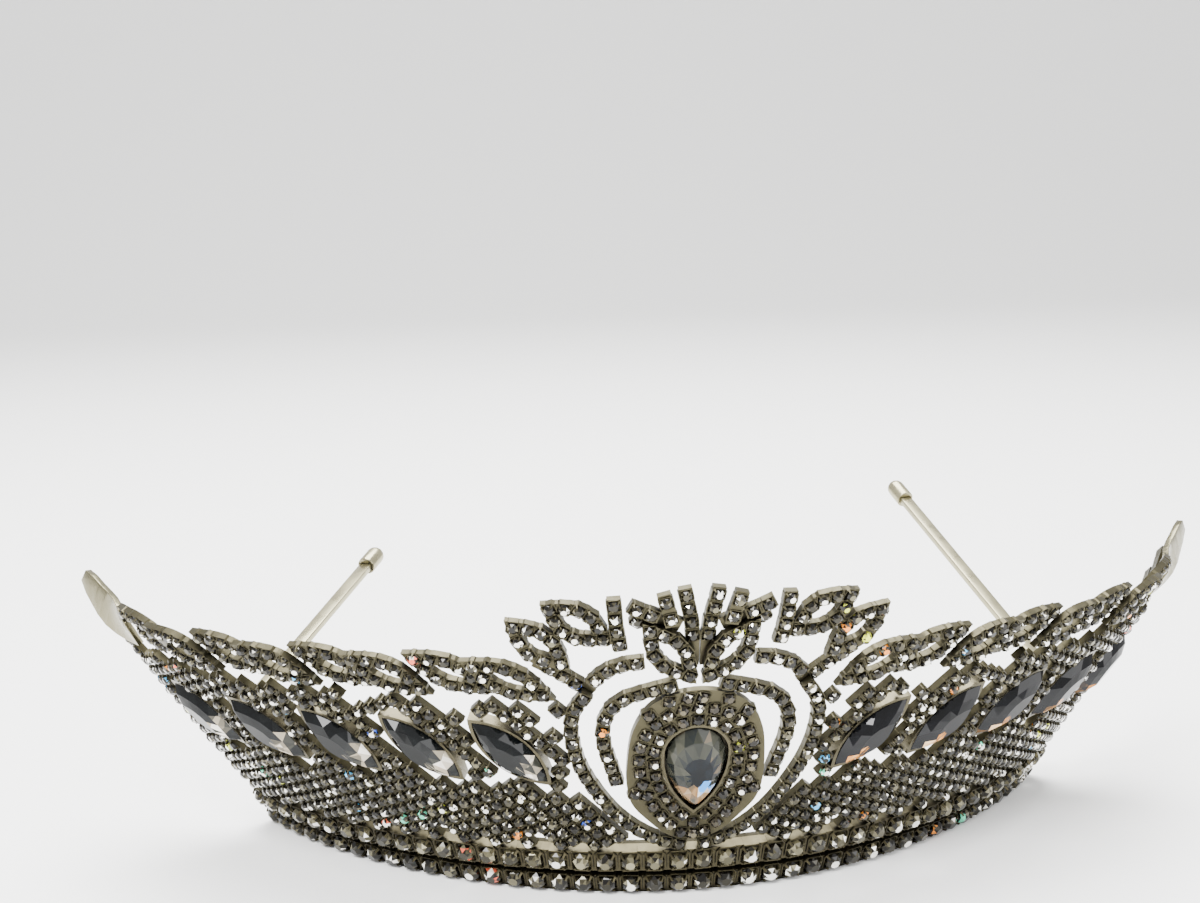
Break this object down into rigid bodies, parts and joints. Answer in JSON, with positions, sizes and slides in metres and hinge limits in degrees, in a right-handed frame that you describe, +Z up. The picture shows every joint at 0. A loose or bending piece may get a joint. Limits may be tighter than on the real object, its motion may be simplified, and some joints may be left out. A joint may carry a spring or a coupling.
{
  "type": "bridal tiara",
  "caption": "Curved bridal tiara of chained rhinestone cups with a pear centre stone, side navettes, leaf-shaped openwork and two sprung legs.",
  "frame": {"origin": "middle of the flat underside of the lower foot chain at the front", "axes": "+X to the wearer's left along the width, +Y towards the back of the head, +Z up from the plane the tiara stands on"},
  "size_m": [0.2068, 0.0875, 0.0563],
  "materials": {
    "plated_alloy": "satin silver plate, darker in the recesses",
    "setting_sheet": "satin silver plate",
    "brass_sheet": "plated, darkened with solder",
    "spring_strip": "satin silver plate",
    "leg_cap": "dipped, glossy, silver grey",
    "clear_rhinestone": "cut and foiled, some with a rainbow coating",
    "navette_crystal": "cut and foiled, dark at this angle",
    "pear_crystal": "cut and foiled"
  },
  "bodies": {
    "root": {"crest_stones_left": "clear_rhinestone", "crest_stones_right": "clear_rhinestone", "edge_leaf_stones_left": "clear_rhinestone", "edge_leaf_stones_right": "clear_rhinestone", "edge_leaves_left": "plated_alloy", "edge_leaves_right": "plated_alloy", "end_tab_left": "plated_alloy", "end_tab_right": "plated_alloy", "foot_band_left": "brass_sheet", "foot_band_right": "brass_sheet", "heart_leaf_left": "plated_alloy", "heart_leaf_right": "plated_alloy", "high_leaf_left": "plated_alloy", "high_leaf_right": "plated_alloy", "inner_ring_left": "plated_alloy", "inner_ring_right": "plated_alloy", "inner_ring_stones": "clear_rhinestone", "knob_arms_left": "plated_alloy", "knob_arms_right": "plated_alloy", "leg_cap_left": "leg_cap", "leg_cap_right": "leg_cap", "leg_left": "spring_strip", "leg_pad_left": "brass_sheet", "leg_pad_right": "brass_sheet", "leg_right": "spring_strip", "lower_chain_left": "plated_alloy", "lower_chain_right": "plated_alloy", "lower_chain_stones": "clear_rhinestone", "navette_cup_1_left": "setting_sheet", "navette_cup_1_right": "setting_sheet", "navette_cup_2_left": "setting_sheet", "navette_cup_2_right": "setting_sheet", "navette_cup_3_left": "setting_sheet", "navette_cup_3_right": "setting_sheet", "navette_cup_4_left": "setting_sheet", "navette_cup_4_right": "setting_sheet", "navette_cup_5_left": "setting_sheet", "navette_cup_5_right": "setting_sheet", "navette_stones_left": "navette_crystal", "navette_stones_right": "navette_crystal", "pave_rows_left": "plated_alloy", "pave_rows_right": "plated_alloy", "pave_stones_left": "clear_rhinestone", "pave_stones_right": "clear_rhinestone", "pear_cup": "setting_sheet", "pear_stone": "pear_crystal", "pear_surround": "plated_alloy", "pear_surround_stones": "clear_rhinestone", "prongs_left": "plated_alloy", "prongs_right": "plated_alloy", "shoulder_arms_left": "plated_alloy", "shoulder_arms_right": "plated_alloy", "side_leaf_left": "plated_alloy", "side_leaf_right": "plated_alloy", "tulip_arm_left": "plated_alloy", "tulip_arm_right": "plated_alloy", "tulip_stones": "clear_rhinestone", "upper_chain_left": "plated_alloy", "upper_chain_right": "plated_alloy", "upper_chain_stones": "clear_rhinestone"}
  },
  "joints": []
}
